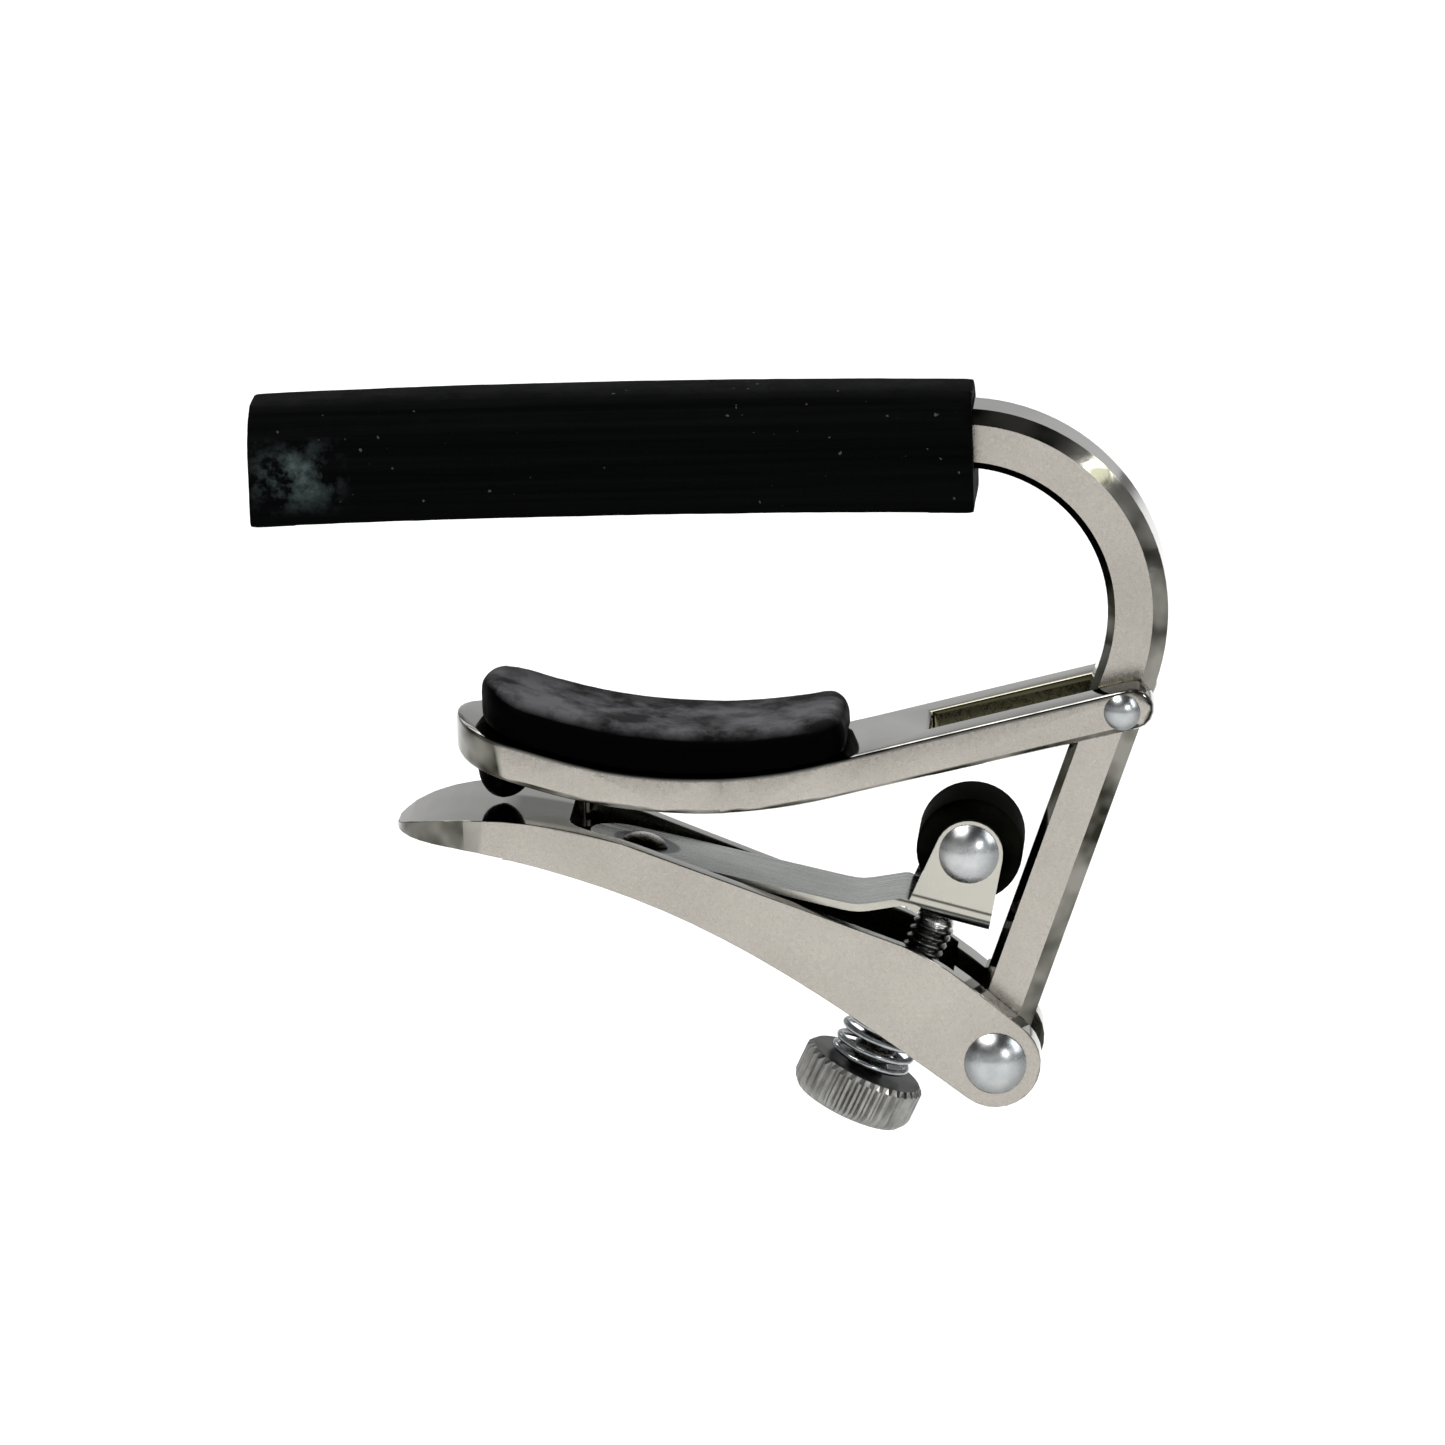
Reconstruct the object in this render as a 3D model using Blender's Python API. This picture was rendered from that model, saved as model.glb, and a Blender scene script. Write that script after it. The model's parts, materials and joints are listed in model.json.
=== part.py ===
"""Guitar capo with an over-centre locking lever, as an assembly of its real pieces.

Row frame: +X runs along the string bar towards its bend, +Z points away from the strings,
and the capo is symmetric about the plane Y = 0. The origin is the middle of the sleeve's
string face. Sizes below are millimetres; every mesh is written in metres.
"""

import math

import bmesh
import bpy
from mathutils import Matrix, Vector
from mathutils.geometry import interpolate_bezier

MM = 0.001

# --- Fits -----------------------------------------------------------------------------
SEAT_GAP = 0.10            # between pieces that lie on each other
RUNNING_FIT = 0.05         # radial clearance of a pin in its hole
FORK_GAP = 0.20            # side clearance of the bar in each fork

# --- String bar and its sleeve ----------------------------------------------------------
ARCH_RADIUS = 1000.0       # the string face follows a slightly cambered fingerboard
SLEEVE_HALF_LENGTH = 28.8
SLEEVE_HALF_WIDTH = 5.2
SLEEVE_HEIGHT = 9.6
SLEEVE_TOP_ROUND = 4.2
SLEEVE_FOOT_ROUND = 0.35
SLEEVE_STATIONS = 12

BAR_CENTRE_HEIGHT = 5.5    # centre line above the string face, mid sleeve
BAR_HALF_WIDTH = 2.6
BAR_THICKNESS = 4.8
BAR_EDGE_DEPTH = 0.5       # how far the edge flats cut into the bar's width
BAR_OUTER_FLAT = 1.2       # how far they run across its outer and inner side
BAR_INNER_FLAT = 0.6
BAR_END_RECESS = 1.0       # the bar stops short of the sleeve's free end
BAR_STATIONS = 9           # along the straight part
BEND_RADIUS_UPPER = 13.95  # centre line
BEND_RADIUS_LOWER = 15.75
BEND_CENTRE = (27.5, -8.8)
BEND_STEPS = 26
LEG_ANGLE = 21.0           # lean of the leg from vertical, degrees
LEG_END_ANGLES = (20, 40, 58, 74)  # stations round the leg's rounded foot

# --- Pivots (X, Z) ----------------------------------------------------------------------
ARM_PIVOT = (40.1, -16.5)
LEVER_PIVOT = (29.15, -45.4)
ROLLER_AXIS = (27.5, -28.4)

# --- Neck arm ---------------------------------------------------------------------------
ARM_SLOPE = 12.0           # rise of the forked end towards the pivot, degrees
ARM_NOSE_SLOPE = 18.0      # rise of the free end towards the nose, degrees
ARM_CURVE_CENTRE = (7.3, 21.35)
ARM_CURVE_RADIUS = 45.5    # underside of the cradle
ARM_THICKNESS = 3.05       # at the cradle
FORK_THICKNESS = 3.3       # at the pivot
FORK_OVERHANG = 0.9        # from the pivot to the centre of the fork's round end
ARM_NOSE_X = -13.4
ARM_NOSE_LENGTH = 4.5      # length of the nose's elliptical plan
ARM_HALF_WIDTH = 6.7
FORK_HALF_WIDTH = 6.25
ARM_WIDEN_X = (8.0, 20.0)  # where the width changes from cradle to fork
ARM_SLOT_X = 24.65
ARM_EDGE = 0.45

# --- Neck pad -----------------------------------------------------------------------------
PAD_X = (-11.35, 17.95)
PAD_HALF_WIDTH = 6.4
PAD_SADDLE_CENTRE = (8.2, 28.45)
PAD_SADDLE_RADIUS = 46.0
PAD_NOSE_LENGTH = 4.4
PAD_EDGE = 1.8
PAD_CORNER = 2.2           # round corners of the square end, in plan
PAD_STATIONS = 30
STUD_X = -8.5
STUD_RADIUS = 1.5
PLUG_RADIUS = 2.35
PLUG_BOTTOM_Z = -23.95

# --- Locking lever ------------------------------------------------------------------------
LEVER_HALF_WIDTH = 7.0
LEVER_FORK_HALF_WIDTH = 5.5
LEVER_TAPER_X = (-9.0, 29.0)
LEVER_END_RADIUS = 3.65
LEVER_TIP_X = -18.5
LEVER_NOSE_LENGTH = 8.9
LEVER_EDGE = 0.45
TROUGH_HALF_WIDTH = 5.3
TROUGH_FORK_HALF_WIDTH = 4.45
TROUGH_X = (-4.4, 26.0)
TROUGH_CORNER = 2.0        # round front corners, in plan
LEVER_SLOT_BACK = 3.4      # how far the fork's slot reaches behind the pivot
SEAT_RADIUS = 1.5          # raised seat for the carrier's rivet
SEAT_ROOT = 1.9            # how far the seat reaches below the strip's top
SPOT_FACE_RADIUS = 3.7

# --- Roller carrier -------------------------------------------------------------------------
STRIP_THICKNESS = 0.6
STRIP_HALF_WIDTH = 4.2
STRIP_START = (-3.0, -26.8)    # top face
STRIP_KNEE = (18.4, -32.45)
STRIP_RISE = (22.3, -31.9)
CLEVIS_FOOT = ((22.2, -33.0), (28.85, -34.92))  # underside of the clevis
EAR_TOP_RADIUS = 2.72
FOLD_RADIUS = 1.2
CARRIER_RIVET_X = 1.4
CARRIER_RIVET_TAIL = 3.55  # how far its shank reaches below the strip's top
FLEX_GAP = 0.15            # room for the strip's spring at its rivet

# --- Roller and rivets ------------------------------------------------------------------------
ROLLER_RADIUS = 4.25
ROLLER_HALF_LENGTH = 3.3
ROLLER_EDGE = 0.45
ROLLER_PIN_RADIUS = 1.2
ROLLER_HEAD = (2.4, 0.95)      # radius and height of a domed head
LEVER_PIN_RADIUS = 1.5
LEVER_HEAD = (2.5, 1.05)
ARM_PIN_RADIUS = 1.0
ARM_HEAD = (1.45, 0.65)
CARRIER_PIN_RADIUS = 0.9
CARRIER_HEAD = (1.85, 0.6)

# --- Adjusting screw, knob and spring -----------------------------------------------------------
KNOB_CENTRE = (17.71, -48.47)
SCREW_LEAN = 26.6          # from vertical, degrees, top towards +X
SCREW_RADIUS = 1.7
SCREW_TIP_ROUND = 0.8
KNOB_RADIUS = 5.05
KNOB_THICKNESS = 3.8
KNOB_RIBS = 36
KNOB_RIB_DEPTH = 0.28
KNOB_BORE_DEPTH = 2.9
SPRING_MEAN_RADIUS = 3.0
SPRING_WIRE_RADIUS = 0.28
SPRING_TURNS = 3.6
SPRING_STEPS = 28          # around each turn
SPRING_WIRE_SIDES = 12

# --- Reach of the cutters ---------------------------------------------------------------------
PLAN_CUT_Z = (-60.0, -5.0)     # takes in every piece below the string bar
BORE_REACH = 14.0              # longer than any hole is deep

# --- Materials: base colour, metallic, roughness ----------------------------------------------
NICKEL = ("polished_nickel", (0.72, 0.70, 0.66), 1.0, 0.16)
SPRING_STEEL = ("stamped_strip", (0.58, 0.60, 0.60), 1.0, 0.26)
KNOB_METAL = ("knurled_metal", (0.42, 0.42, 0.42), 1.0, 0.36)
WIRE_STEEL = ("spring_wire", (0.50, 0.50, 0.50), 1.0, 0.30)
SLEEVE_RUBBER = ("sleeve_rubber", (0.012, 0.014, 0.014), 0.0, 0.62)
PAD_RUBBER = ("pad_rubber", (0.020, 0.020, 0.022), 0.0, 0.55)
ROLLER_PLASTIC = ("roller_plastic", (0.014, 0.014, 0.014), 0.0, 0.42)


# =================================== helpers ===================================

def clear_scene():
    for item in list(bpy.data.objects):
        bpy.data.objects.remove(item, do_unlink=True)


def material(spec):
    name, colour, metallic, roughness = spec
    found = bpy.data.materials.get(name)
    if found:
        return found
    made = bpy.data.materials.new(name)
    made.use_nodes = True
    shader = made.node_tree.nodes["Principled BSDF"]
    shader.inputs["Base Color"].default_value = (*colour, 1.0)
    shader.inputs["Metallic"].default_value = metallic
    shader.inputs["Roughness"].default_value = roughness
    return made


def add_object(name, mesh_builder, finish=None):
    """Turn a bmesh in millimetres into an object in metres, with its faces pointing out."""
    bmesh.ops.recalc_face_normals(mesh_builder, faces=mesh_builder.faces)
    bmesh.ops.scale(mesh_builder, vec=(MM, MM, MM), verts=mesh_builder.verts)
    mesh = bpy.data.meshes.new(name)
    mesh_builder.to_mesh(mesh)
    mesh_builder.free()
    mesh.shade_smooth()
    mesh.set_sharp_from_angle(angle=math.radians(28))
    item = bpy.data.objects.new(name, mesh)
    bpy.context.scene.collection.objects.link(item)
    if finish:
        mesh.materials.append(material(finish))
    return item


def arc(centre, radius, start, end, steps):
    """Points on an arc in a plane, angles in degrees, both ends included."""
    points = []
    for step in range(steps + 1):
        angle = math.radians(start + (end - start) * step / steps)
        points.append((centre[0] + radius * math.cos(angle), centre[1] + radius * math.sin(angle)))
    return points


def half_ellipse(centre_x, length, half_width, steps):
    """Plan of a round nose that points to -X, from +Y over the tip to -Y."""
    points = []
    for step in range(steps + 1):
        angle = math.radians(90 + 180 * step / steps)
        points.append((centre_x + length * math.cos(angle), half_width * math.sin(angle)))
    return points


def bezier(start, start_handle, end_handle, end, steps):
    corners = [Vector((x, y)) for x, y in (start, start_handle, end_handle, end)]
    return [(point.x, point.y) for point in interpolate_bezier(*corners, steps + 1)]


def along(point, angle, distance):
    """The point at a distance from another, in the direction of an angle in degrees."""
    radians = math.radians(angle)
    return (point[0] + distance * math.cos(radians), point[1] + distance * math.sin(radians))


def without_repeats(points):
    kept = []
    for point in points:
        if not kept or (Vector(point) - Vector(kept[-1])).length > 1e-4:
            kept.append(point)
    if (Vector(kept[0]) - Vector(kept[-1])).length <= 1e-4:
        kept.pop()
    return kept


def rings_to_bmesh(rings):
    """Skin a row of closed rings with the same number of points, and cap both ends."""
    build = bmesh.new()
    loops = [[build.verts.new(point) for point in ring] for ring in rings]
    count = len(loops[0])
    for near, far in zip(loops, loops[1:]):
        for index in range(count):
            following = (index + 1) % count
            build.faces.new((near[index], near[following], far[following], far[index]))
    build.faces.new(loops[0])
    build.faces.new(list(reversed(loops[-1])))
    return build


def side_prism(name, outline, y_low, y_high, finish=None):
    """An outline in the XZ plane, extruded along Y."""
    points = without_repeats(outline)
    rings = [[(x, y, z) for x, z in points] for y in (y_low, y_high)]
    return add_object(name, rings_to_bmesh(rings), finish)


def plan_cutter(name, outline):
    """An outline in the XY plane, extruded along Z through everything below the bar."""
    points = without_repeats(outline)
    rings = [[(x, y, z) for x, y in points] for z in PLAN_CUT_Z]
    return add_object(name, rings_to_bmesh(rings))


def slot_cutter(name, start, end):
    """A slot for the bar, between two places along X."""
    half = BAR_HALF_WIDTH + FORK_GAP
    return plan_cutter(name, [(start, -half), (end, -half), (end, half), (start, half)])


def turned(name, profile, base, axis, finish=None, steps=32):
    """A solid turned about an axis: the profile is (radius, height) from one end to the other,
    and starts and ends on the axis, or is a closed loop clear of it."""
    turn = Vector(axis).normalized()
    to_world = Matrix.Translation(Vector(base)) @ turn.to_track_quat("Z", "Y").to_matrix().to_4x4()
    build = bmesh.new()
    columns = []
    for step in range(steps):
        angle = 2 * math.pi * step / steps
        column = []
        for index, (radius, height) in enumerate(profile):
            if radius < 1e-6 and step:
                column.append(columns[0][index])
                continue
            local = Vector((radius * math.cos(angle), radius * math.sin(angle), height))
            column.append(build.verts.new(to_world @ local))
        columns.append(column)
    closed = profile[0][0] > 1e-6
    spans = len(profile) if closed else len(profile) - 1
    for step in range(steps):
        near = columns[step]
        far = columns[(step + 1) % steps]
        for index in range(spans):
            following = (index + 1) % len(profile)
            corners = [near[index], far[index], far[following], near[following]]
            unique = list(dict.fromkeys(corners))
            build.faces.new(unique)
    return add_object(name, build, finish)


def boolean(target, tool, operation="DIFFERENCE"):
    """Cut, keep or join with a tool object, which itself stays out of the model."""
    tool.hide_render = True
    tool.display_type = "WIRE"
    modifier = target.modifiers.new(tool.name, "BOOLEAN")
    modifier.object = tool
    modifier.operation = operation
    modifier.solver = "EXACT"


def round_edges(target, width, segments=2, angle=38.0):
    modifier = target.modifiers.new("edges", "BEVEL")
    modifier.width = width * MM
    modifier.segments = segments
    modifier.limit_method = "ANGLE"
    modifier.angle_limit = math.radians(angle)
    modifier.use_clamp_overlap = True


def bake(target):
    """Apply the modifiers in order and drop the tools that they used."""
    tools = [modifier.object for modifier in target.modifiers if modifier.type == "BOOLEAN"]
    graph = bpy.context.evaluated_depsgraph_get()
    mesh = bpy.data.meshes.new_from_object(target.evaluated_get(graph), depsgraph=graph)
    target.modifiers.clear()
    target.data = mesh
    mesh.name = target.name
    mesh.shade_smooth()
    mesh.set_sharp_from_angle(angle=math.radians(28))
    for tool in tools:
        bpy.data.objects.remove(tool, do_unlink=True)


def hang_on_axis(name, point, members):
    """Parent moving pieces to an empty that stands on their joint's axis."""
    pivot = bpy.data.objects.new(name, None)
    pivot.empty_display_size = 2 * MM
    pivot.location = Vector((point[0], 0.0, point[1])) * MM
    bpy.context.scene.collection.objects.link(pivot)
    for member in members:
        member.parent = pivot
        member.matrix_parent_inverse = Matrix.Translation(-pivot.location)
    return pivot


def pin_hole(target, centre, radius, half_length):
    tool = turned(
        target.name + "_hole_%d" % len(target.modifiers),
        [(0, -half_length), (radius, -half_length), (radius, half_length), (0, half_length)],
        (centre[0], 0, centre[1]), (0, 1, 0))
    boolean(target, tool)


def domed_rivet(name, centre, pin_radius, head, grip, finish):
    """A rivet along Y with a low dome at both ends; grip is half the length it clamps."""
    radius, height = head
    sphere = (radius ** 2 + height ** 2) / (2 * height)
    half_angle = math.degrees(math.asin(radius / sphere))
    dome = arc((0, height - sphere), sphere, 90 - half_angle, 90, 6)
    top = [(r, grip + h) for r, h in dome]
    bottom = [(r, -h) for r, h in reversed(top)]
    profile = bottom + [(pin_radius, -grip), (pin_radius, grip)] + top
    profile[0] = (0, profile[0][1])
    profile[-1] = (0, profile[-1][1])
    return turned(name, profile, (centre[0], 0, centre[1]), (0, 1, 0), finish)


# =================================== string bar ===================================

def arch_point(x, height):
    """A point above the string face at a given height, following the arch."""
    radius = ARCH_RADIUS + height
    return (x, math.sqrt(radius ** 2 - x ** 2) - ARCH_RADIUS)


def bar_centre_line():
    """Points and directions, in degrees, of the bar's centre line, free end first."""
    radius = ARCH_RADIUS + BAR_CENTRE_HEIGHT
    start_x = -SLEEVE_HALF_LENGTH + BAR_END_RECESS
    meet = math.degrees(math.asin(BEND_CENTRE[0] / (radius - BEND_RADIUS_UPPER)))
    frames = []
    for step in range(BAR_STATIONS):
        x = start_x + (BEND_CENTRE[0] - start_x) * step / BAR_STATIONS
        frames.append((arch_point(x, BAR_CENTRE_HEIGHT), -math.degrees(math.asin(x / radius))))
    for step in range(BEND_STEPS + 1):
        angle = (90 - meet) * (1 - step / BEND_STEPS)
        frames.append((along(BEND_CENTRE, angle, BEND_RADIUS_UPPER), angle - 90))
    lower_centre = (BEND_CENTRE[0] + BEND_RADIUS_UPPER - BEND_RADIUS_LOWER, BEND_CENTRE[1])
    lower_steps = round(BEND_STEPS * LEG_ANGLE / 90)
    for step in range(1, lower_steps + 1):
        angle = -LEG_ANGLE * step / lower_steps
        frames.append((along(lower_centre, angle, BEND_RADIUS_LOWER), angle - 90))
    return frames


def bar_section():
    """The bar's section: width along Y, and outwards from the bend. Flats break its edges."""
    half = BAR_THICKNESS / 2
    shoulder = BAR_HALF_WIDTH - BAR_EDGE_DEPTH
    return [
        (-shoulder, half), (shoulder, half),
        (BAR_HALF_WIDTH, half - BAR_OUTER_FLAT), (BAR_HALF_WIDTH, BAR_INNER_FLAT - half),
        (shoulder, -half), (-shoulder, -half),
        (-BAR_HALF_WIDTH, BAR_INNER_FLAT - half), (-BAR_HALF_WIDTH, half - BAR_OUTER_FLAT)]


def bar_ring(point, direction, shrink=0.0):
    outward = math.radians(direction + 90)
    ring = []
    for y, out in bar_section():
        out -= shrink * math.copysign(1, out)
        ring.append((point[0] + out * math.cos(outward), y, point[1] + out * math.sin(outward)))
    return ring


def leg_end():
    """Foot of the leg's centre line, level with the lever's pivot, and its direction."""
    point, direction = bar_centre_line()[-1]
    run = Vector((math.cos(math.radians(direction)), math.sin(math.radians(direction))))
    reach = (Vector(LEVER_PIVOT) - Vector(point)).dot(run)
    return tuple(Vector(point) + run * reach), direction


def make_string_bar():
    frames = bar_centre_line()
    foot, direction = leg_end()
    frames.append((foot, direction))
    rings = [bar_ring(point, heading) for point, heading in frames]
    half = BAR_THICKNESS / 2
    for angle in LEG_END_ANGLES:
        beyond = along(foot, direction, half * math.sin(math.radians(angle)))
        lost = half * (1 - math.cos(math.radians(angle)))
        rings.append(bar_ring(beyond, direction, min(lost, half - BAR_OUTER_FLAT - 0.1)))
    bar = add_object("string_bar", rings_to_bmesh(rings), NICKEL)
    pin_hole(bar, ARM_PIVOT, ARM_PIN_RADIUS + RUNNING_FIT, 2 * BAR_HALF_WIDTH)
    pin_hole(bar, LEVER_PIVOT, LEVER_PIN_RADIUS + RUNNING_FIT, 2 * BAR_HALF_WIDTH)
    bake(bar)
    return bar


def sleeve_outline():
    """Section across the sleeve, as (Y, height above the string face)."""
    foot = SLEEVE_FOOT_ROUND
    side = SLEEVE_HALF_WIDTH
    top = SLEEVE_TOP_ROUND
    right = arc((side - foot, foot), foot, -90, 0, 2)
    right += arc((side - top, SLEEVE_HEIGHT - top), top, 0, 90, 10)
    left = [(-y, height) for y, height in reversed(right)]
    return without_repeats(right + left)


def make_string_sleeve():
    rings = []
    for step in range(SLEEVE_STATIONS):
        x = SLEEVE_HALF_LENGTH * (2 * step / (SLEEVE_STATIONS - 1) - 1)
        rings.append([(x, y, arch_point(x, height)[1]) for y, height in sleeve_outline()])
    sleeve = add_object("string_sleeve", rings_to_bmesh(rings), SLEEVE_RUBBER)
    half_width = BAR_HALF_WIDTH + SEAT_GAP
    half_height = BAR_THICKNESS / 2 + SEAT_GAP
    channel = []
    for step in range(SLEEVE_STATIONS):
        x = (SLEEVE_HALF_LENGTH + 1) * (2 * step / (SLEEVE_STATIONS - 1) - 1)
        low = arch_point(x, BAR_CENTRE_HEIGHT - half_height)[1]
        high = arch_point(x, BAR_CENTRE_HEIGHT + half_height)[1]
        ring = [(-half_width, low), (half_width, low), (half_width, high), (-half_width, high)]
        channel.append([(x, y, z) for y, z in ring])
    boolean(sleeve, add_object("sleeve_channel", rings_to_bmesh(channel)))
    bake(sleeve)
    return sleeve


# =================================== neck arm and pad ===================================

def cradle_edge(radius):
    """An edge of the cradle, from the nose to the end of its curve."""
    curve = arc(ARM_CURVE_CENTRE, radius, 270 - ARM_NOSE_SLOPE, 270 + ARM_SLOPE, 16)
    reach = (curve[0][0] - ARM_NOSE_X) / math.cos(math.radians(ARM_NOSE_SLOPE)) + 1
    return [along(curve[0], 180 - ARM_NOSE_SLOPE, reach)] + curve


def arm_outline():
    end_centre = along(ARM_PIVOT, ARM_SLOPE, FORK_OVERHANG)
    round_end = arc(end_centre, FORK_THICKNESS / 2, ARM_SLOPE - 90, ARM_SLOPE + 90, 8)
    upper = cradle_edge(ARM_CURVE_RADIUS - ARM_THICKNESS)
    return cradle_edge(ARM_CURVE_RADIUS) + round_end + list(reversed(upper))


def arm_plan():
    nose = half_ellipse(ARM_NOSE_X + ARM_NOSE_LENGTH, ARM_NOSE_LENGTH, ARM_HALF_WIDTH, 16)
    widen, narrow = ARM_WIDEN_X
    beyond = ARM_PIVOT[0] + 2 * FORK_THICKNESS
    back = [(beyond, FORK_HALF_WIDTH), (narrow, FORK_HALF_WIDTH), (widen, ARM_HALF_WIDTH)]
    return back + nose + [(x, -y) for x, y in reversed(back)]


def stud_height():
    """Height of the cradle's upper edge where the pad's stud goes through."""
    edge = cradle_edge(ARM_CURVE_RADIUS - ARM_THICKNESS)
    share = (STUD_X - edge[0][0]) / (edge[1][0] - edge[0][0])
    return edge[0][1] + share * (edge[1][1] - edge[0][1])


def make_neck_arm():
    arm = side_prism("neck_arm", arm_outline(), -2 * ARM_HALF_WIDTH, 2 * ARM_HALF_WIDTH, NICKEL)
    boolean(arm, plan_cutter("arm_plan", arm_plan()), "INTERSECT")
    boolean(arm, slot_cutter("arm_slot", ARM_SLOT_X, ARM_PIVOT[0] + 2 * FORK_THICKNESS))
    round_edges(arm, ARM_EDGE)
    stud_hole = turned(
        "stud_hole", [(0, -5), (STUD_RADIUS + SEAT_GAP, -5), (STUD_RADIUS + SEAT_GAP, 5), (0, 5)],
        (STUD_X, 0, stud_height()), (math.sin(math.radians(ARM_NOSE_SLOPE)), 0, 1))
    boolean(arm, stud_hole)
    pin_hole(arm, ARM_PIVOT, ARM_PIN_RADIUS + RUNNING_FIT, 2 * FORK_HALF_WIDTH)
    bake(arm)
    return arm


def arm_top_z(x):
    """Height of the cradle's upper edge."""
    radius = ARM_CURVE_RADIUS - ARM_THICKNESS
    centre_x, centre_z = ARM_CURVE_CENTRE
    for slope, side in ((ARM_NOSE_SLOPE, -1), (ARM_SLOPE, 1)):
        reach = radius * math.sin(math.radians(slope))
        beyond = side * (x - centre_x) - reach
        if beyond > 0:
            curve_end = centre_z - math.sqrt(radius ** 2 - reach ** 2)
            return curve_end + beyond * math.tan(math.radians(slope))
    return centre_z - math.sqrt(radius ** 2 - (x - centre_x) ** 2)


def pad_top_z(x):
    centre_x, centre_z = PAD_SADDLE_CENTRE
    edge = min(x - PAD_X[0], PAD_X[1] - x, PAD_EDGE)
    drop = PAD_EDGE - math.sqrt(PAD_EDGE ** 2 - (PAD_EDGE - edge) ** 2)
    return centre_z - math.sqrt(PAD_SADDLE_RADIUS ** 2 - (x - centre_x) ** 2) - drop


def pad_half_width(x):
    """Plan of the pad: an elliptical nose and two round corners at the square end."""
    start, end = PAD_X
    if x < start + PAD_NOSE_LENGTH:
        share = 1 - (x - start) / PAD_NOSE_LENGTH
        return PAD_HALF_WIDTH * math.sqrt(1 - share ** 2)
    if x > end - PAD_CORNER:
        share = 1 - (end - x) / PAD_CORNER
        return PAD_HALF_WIDTH - PAD_CORNER * (1 - math.sqrt(1 - share ** 2))
    return PAD_HALF_WIDTH


def pad_ring(x):
    """One cross section of the pad, with a flat foot and a rounded top."""
    half = pad_half_width(x)
    top = pad_top_z(x)
    foot = arm_top_z(x) + SEAT_GAP
    edge = min(PAD_EDGE, 0.8 * half, 0.8 * (top - foot))
    side = arc((half - edge, top - edge), edge, 0, 90, 7)
    right = [(half, foot)] + side
    return [(x, y, z) for y, z in right] + [(x, -y, z) for y, z in reversed(right)]


def pad_stations():
    """Places along X, closer together where the ends are rounded."""
    start, end = PAD_X
    places = []
    for step in range(PAD_STATIONS + 1):
        share = (1 - math.cos(math.pi * (0.035 + 0.95 * step / PAD_STATIONS))) / 2
        places.append(start + (end - start) * share)
    return places


def make_neck_pad():
    rings = [pad_ring(x) for x in pad_stations()]
    pad = add_object("neck_pad", rings_to_bmesh(rings), PAD_RUBBER)
    lean = math.radians(ARM_NOSE_SLOPE)
    upward = Vector((math.sin(lean), 0, math.cos(lean)))
    top = Vector((STUD_X, 0, stud_height()))
    underside = -ARM_THICKNESS - SEAT_GAP
    drop = (top.z - PLUG_BOTTOM_Z) / upward.z
    dome = [(PLUG_RADIUS * math.cos(math.radians(a)),
             underside + (drop + underside) * math.sin(math.radians(a))) for a in range(-90, 0, 15)]
    profile = [(0, -drop)] + dome[1:] + [
        (PLUG_RADIUS, underside), (STUD_RADIUS, underside), (STUD_RADIUS, 1.2), (0, 1.2)]
    boolean(pad, turned("pad_stud", profile, top, upward, None, 24), "UNION")
    bake(pad)
    return pad


# =================================== locking lever ===================================

def lever_underside():
    """Lower edge from the fork's round end to the spoon tip."""
    heel = along(LEVER_PIVOT, 231, LEVER_END_RADIUS)
    belly = bezier(heel, (11.3, -35.7), (3.6, -31.1), (-9.6, -27.35), 14)
    spoon = bezier((-9.6, -27.35), (-13.0, -26.4), (-16.6, -26.5), (-18.3, -26.15), 5)
    return belly + spoon[1:]


def lever_top():
    """Upper edge from the spoon tip to the fork's round end."""
    spoon = bezier((-18.3, -25.5), (-16.4, -24.4), (-12.6, -24.1), (-9.5, -24.3), 6)
    brow = bezier((-9.5, -24.3), (-5.5, -24.7), (-1.2, -25.9), (1.4, -26.95), 6)
    shoulder = along(LEVER_PIVOT, 55, LEVER_END_RADIUS)
    nape = bezier((22.0, -35.45), (25.5, -36.95), (29.0, -40.4), shoulder, 6)
    return spoon + brow[1:] + nape


def lever_outline():
    round_end = arc(LEVER_PIVOT, LEVER_END_RADIUS, 55, 231 - 360, 14)
    tip = [(LEVER_TIP_X, -25.85)]
    return tip + lever_top() + round_end + lever_underside()[1:]


def taper(back_x, wide, narrow, nose):
    """Plan that narrows from its middle to the fork; the nose is a list of points."""
    start = LEVER_TAPER_X[0]
    upper = [(back_x, taper_width(back_x, wide, narrow)), (start, wide)]
    return upper + nose + [(x, -y) for x, y in reversed(upper)]


def taper_width(x, wide, narrow):
    start, end = LEVER_TAPER_X
    return wide + (narrow - wide) * (x - start) / (end - start)


def lever_plan():
    nose = half_ellipse(LEVER_TIP_X + LEVER_NOSE_LENGTH, LEVER_NOSE_LENGTH, LEVER_HALF_WIDTH, 18)
    beyond = LEVER_PIVOT[0] + 2 * LEVER_END_RADIUS
    return taper(beyond, LEVER_HALF_WIDTH, LEVER_FORK_HALF_WIDTH, nose)


def trough_plan():
    """Plan of the trough, whose walls keep an even thickness as the lever narrows."""
    front, back = TROUGH_X
    corner = TROUGH_CORNER
    side = taper_width(front, TROUGH_HALF_WIDTH, TROUGH_FORK_HALF_WIDTH)
    upper = [(back, taper_width(back, TROUGH_HALF_WIDTH, TROUGH_FORK_HALF_WIDTH))]
    upper += arc((front + corner, side - corner), corner, 90, 180, 4)
    return upper + [(x, -y) for x, y in reversed(upper)]


def trough_floor():
    """The trough's floor, which thickens into the web that carries the screw."""
    return bezier((TROUGH_X[0], -27.65), (4.0, -29.6), (11.5, -33.4), (TROUGH_X[1], -45.35), 12)


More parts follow.
